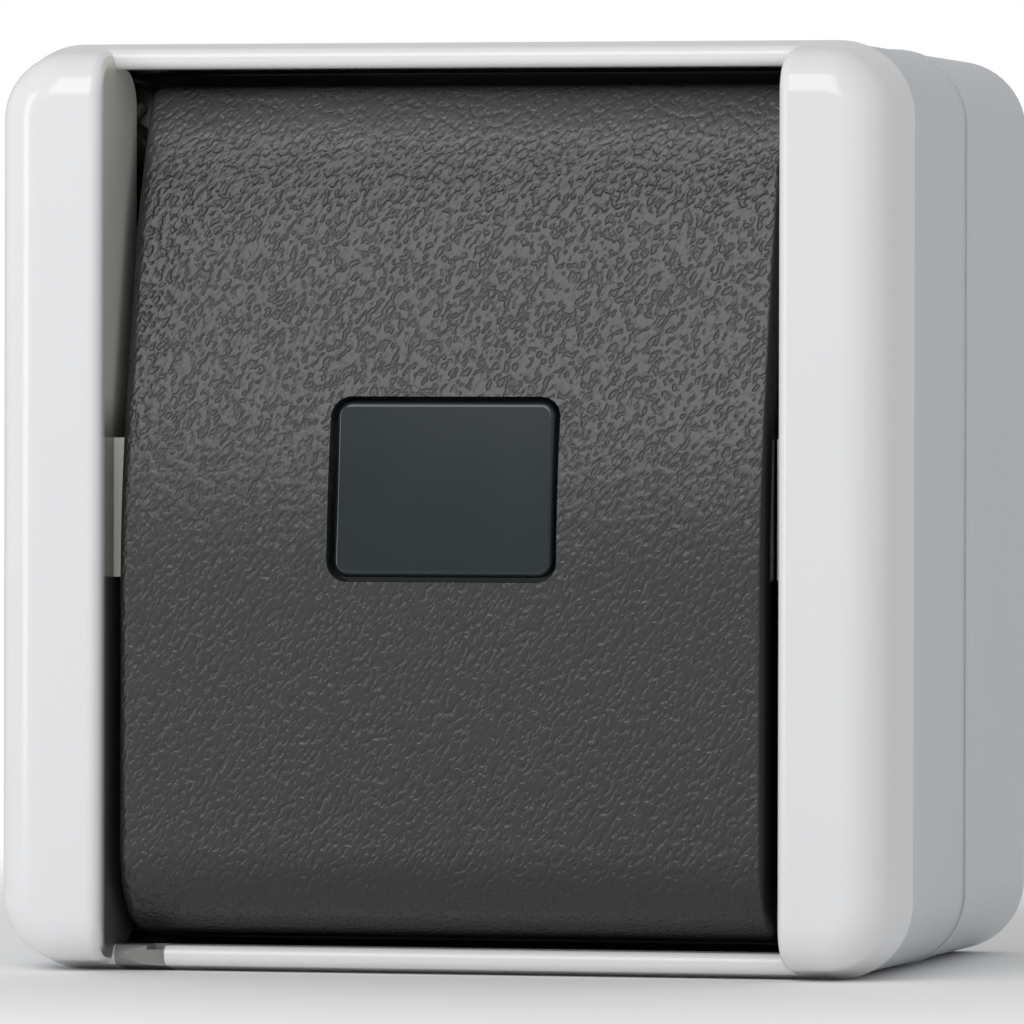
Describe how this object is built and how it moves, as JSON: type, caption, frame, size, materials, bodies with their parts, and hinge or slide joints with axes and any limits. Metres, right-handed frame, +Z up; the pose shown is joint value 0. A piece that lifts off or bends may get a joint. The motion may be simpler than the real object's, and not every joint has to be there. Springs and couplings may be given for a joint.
{
  "type": "pushbutton switch",
  "caption": "Surface-mounted splash-proof pushbutton with a sprung rocking button, a dark window, raised side rails and a wall box for the cable.",
  "frame": {"origin": "centre of the wall face, the flat back of the wall box", "axes": "+X to the right seen from the front, +Z up, +Y into the wall; the button faces -Y"},
  "size_m": [0.068, 0.05, 0.068],
  "materials": {
    "cover_plastic": "glossy moulded",
    "housing_plastic": "satin moulded",
    "button_plastic": "grained moulded",
    "window_plastic": "polished",
    "seal_rubber": "matte",
    "grommet_rubber": "matte",
    "insert_plastic": "moulded",
    "pin_plastic": "moulded",
    "zinc_steel": "zinc plated",
    "spring_steel": "drawn wire",
    "contact_brass": "stamped",
    "contact_silver": "polished rivet"
  },
  "bodies": {
    "housing": {"base_box": "housing_plastic", "base_gasket": "seal_rubber", "middle_housing": "housing_plastic", "cover_frame": "cover_plastic", "sealing_membrane": "seal_rubber", "membrane_retainer": "insert_plastic", "housing_screws": "zinc_steel", "cable_grommet": "grommet_rubber", "blanking_grommet": "grommet_rubber", "support_plate": "zinc_steel", "insert_screws": "zinc_steel", "insert_rivets": "zinc_steel", "insert_body": "insert_plastic", "insert_cover": "insert_plastic", "return_spring": "spring_steel", "fixed_contact_left": "contact_brass", "fixed_contact_right": "contact_brass", "fixed_rivets": "contact_silver", "terminal_clamp_left": "zinc_steel", "terminal_clamp_right": "zinc_steel", "terminal_screws": "zinc_steel", "earth_terminal": "contact_brass", "earth_screw": "zinc_steel"},
    "rocker": {"rocker": "button_plastic", "window_insert": "window_plastic"},
    "plunger": {"push_pin": "pin_plastic", "contact_carrier": "pin_plastic", "contact_bridge": "contact_brass", "moving_contacts": "contact_silver", "overtravel_spring": "spring_steel"}
  },
  "joints": [
    {"name": "rocker_press", "type": "hinge", "parent": "housing", "child": "rocker", "pos_m": [0, -0.042, 0], "axis": [1, 0, 0], "range_deg": [0, 12], "stiffness_Nm_per_rad": 0.25, "springref_deg": -8.59},
    {"name": "pin_slide", "type": "slide", "parent": "housing", "child": "plunger", "axis": [0, 1, 0], "range_m": [0, 0.0019], "deforming": ["return_spring", "sealing_membrane"]}
  ],
  "couplings": [
    {"joint": "pin_slide", "follows": "rocker_press", "m_per_rad": 0.0088}
  ]
}
